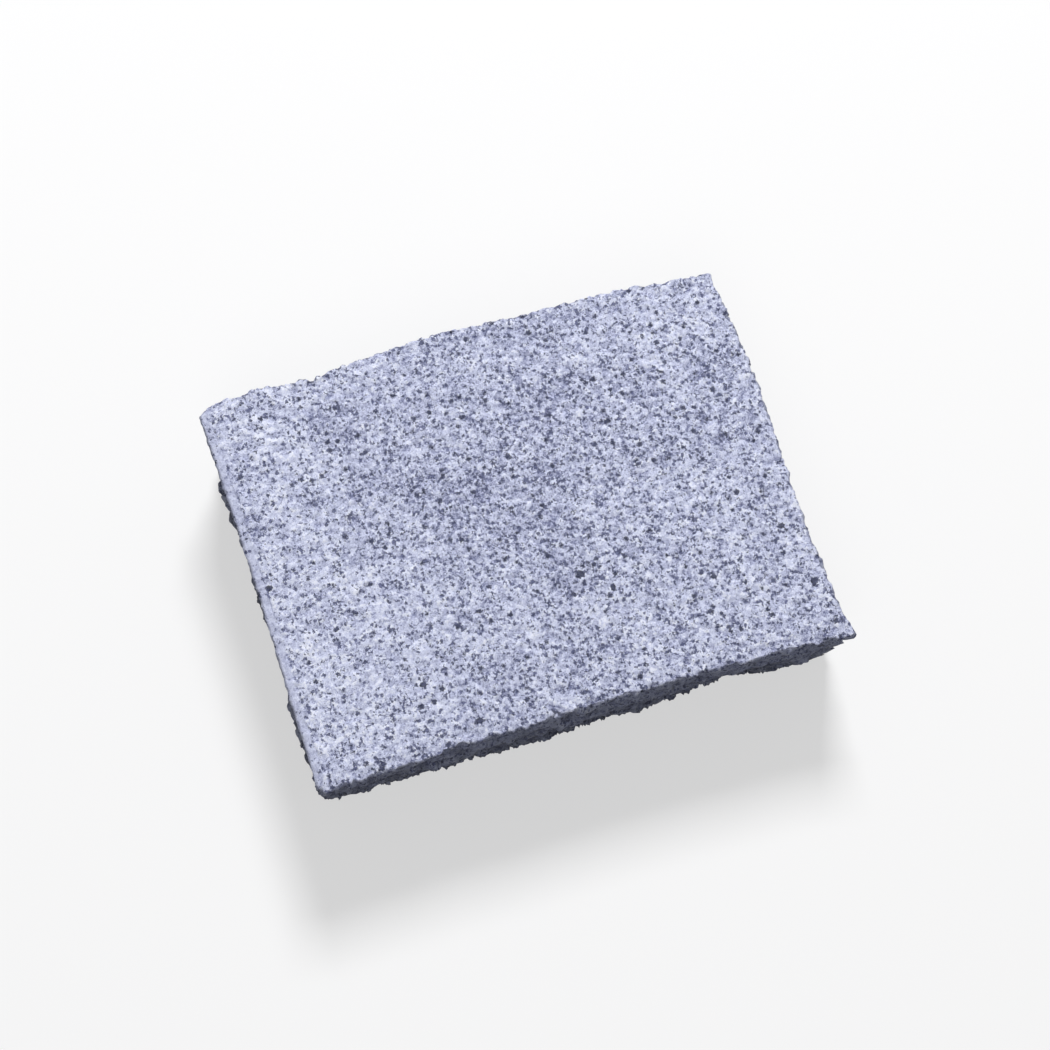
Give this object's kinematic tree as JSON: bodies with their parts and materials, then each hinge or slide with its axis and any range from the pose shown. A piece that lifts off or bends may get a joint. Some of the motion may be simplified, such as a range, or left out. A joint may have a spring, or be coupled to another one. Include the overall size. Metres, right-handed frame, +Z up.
{
  "type": "granite sett",
  "caption": "Rectangular granite sett with a level, rough-dressed tread, split sides that lean towards a flat bed, and slightly worn wavy arrises, for paving laid in courses.",
  "frame": {"origin": "middle of the bed, the flat underside that the sett rests on", "axes": "+X along the sett's length, +Y across it from its front side to its back side, +Z up, out of the tread"},
  "size_m": [0.2075, 0.1568, 0.05],
  "materials": {
    "granite": "light blue-grey speckled granite, rough-dressed tread and split sides, matt"
  },
  "bodies": {
    "root": {"granite_sett": "granite"}
  },
  "joints": []
}
